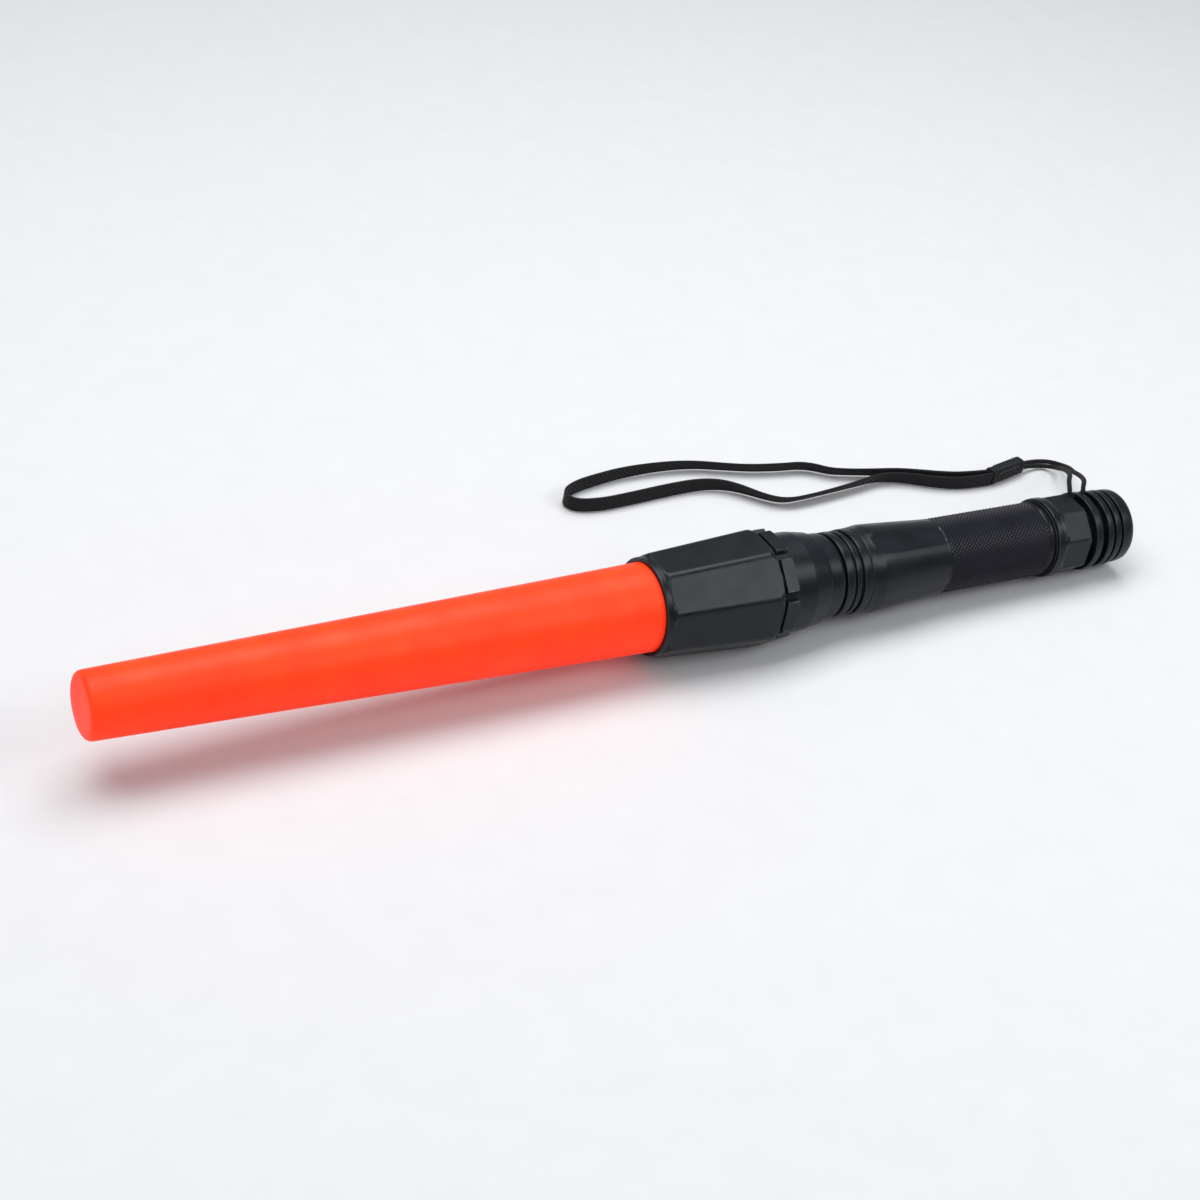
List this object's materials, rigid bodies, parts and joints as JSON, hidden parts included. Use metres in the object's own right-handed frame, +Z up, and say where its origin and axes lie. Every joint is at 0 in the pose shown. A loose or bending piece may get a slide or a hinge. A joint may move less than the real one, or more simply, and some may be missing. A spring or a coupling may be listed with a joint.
{
  "type": "traffic baton light",
  "caption": "Hand torch with a sliding faceted head, an orange-red signal cone in its mouth, a screwed tail cap with push switch and a wrist lanyard.",
  "frame": {"origin": "centre of the bounding box of the torch and cone, without the lanyard, on the surface they lie on", "axes": "+Z up, +X along the baton from the cone tip to the tail switch, +Y to the side on which the lanyard lies"},
  "size_m": [0.3875, 0.1117, 0.0358],
  "materials": {
    "cone_orange": "orange-red translucent moulded plastic, satin gloss",
    "black_anodised": "black hard-anodised turned aluminium",
    "brass": "turned brass",
    "lens_clear": "clear polished acrylic",
    "black_rubber": "matte black rubber",
    "board_green": "green solder mask",
    "board_white": "white solder mask on aluminium",
    "led_yellow": "phosphor under a clear dome",
    "white_plastic": "moulded white plastic",
    "wire_red": "insulated wire",
    "part_black": "black component cases",
    "spring_steel": "plated spring wire",
    "cell_steel": "nickel-plated steel",
    "electrode_foil": "wound electrode foils",
    "cell_wrap": "shrunk plastic sleeve",
    "nylon": "black nylon",
    "ring_alu": "bare turned aluminium",
    "switch_black": "moulded black plastic",
    "webbing": "woven black nylon webbing",
    "cord_black": "braided black nylon cord"
  },
  "bodies": {
    "barrel": {"barrel_tube": "black_anodised", "neck_tube": "black_anodised", "neck_seals": "black_rubber", "front_seal": "black_rubber", "led_pill": "brass", "star_board": "board_white", "led_emitter": "led_yellow", "star_insulator": "white_plastic", "led_leads": "wire_red", "driver_board": "board_green", "driver_parts": "part_black", "driver_spring": "spring_steel", "rear_seal": "black_rubber", "cell_cans": "cell_steel", "cell_cores": "electrode_foil", "cell_caps": "cell_steel", "cell_insulators": "white_plastic", "cell_wraps": "cell_wrap"},
    "head": {"head_shell": "black_anodised", "lens_ring": "black_anodised", "lens_gasket": "black_rubber", "focus_lens": "lens_clear", "head_collar": "black_anodised"},
    "cone": {"cone_shell": "cone_orange"},
    "washer": {"thrust_washer": "nylon"},
    "tail": {"tail_cap": "black_anodised", "switch_retaining_ring": "ring_alu", "switch_board": "board_green", "battery_spring": "spring_steel", "switch_housing": "switch_black", "boot_spacer": "white_plastic", "plunger_spring": "spring_steel", "tail_boot": "black_rubber", "lanyard_strap": "webbing", "lanyard_cord": "cord_black", "lanyard_tab": "webbing"},
    "plunger": {"switch_plunger": "switch_black"}
  },
  "joints": [
    {"name": "head_focus", "type": "slide", "parent": "barrel", "child": "head", "axis": [-0.9994, 0, 0.0349], "range_m": [0, 0.008]},
    {"name": "cone_pull", "type": "slide", "parent": "head", "child": "cone", "axis": [-0.9994, 0, 0.0349], "range_m": [0, 0.02]},
    {"name": "tail_lead", "type": "slide", "parent": "barrel", "child": "washer", "axis": [0.9994, 0, -0.0349], "range_m": [0, 0.00505]},
    {"name": "tail_unscrew", "type": "hinge", "parent": "washer", "child": "tail", "pos_m": [0.15137, 0, 0.0139], "axis": [0.9994, 0, -0.0349], "range_deg": [0, 1440]},
    {"name": "button_press", "type": "slide", "parent": "tail", "child": "plunger", "axis": [-0.9994, 0, 0.0349], "range_m": [0, 0.0016], "stiffness_N_per_m": 1200, "springref_m": -0.0012, "deforming": ["tail_boot", "plunger_spring"]}
  ],
  "couplings": [
    {"joint": "tail_lead", "follows": "tail_unscrew", "m_per_rad": 0.00019894}
  ]
}
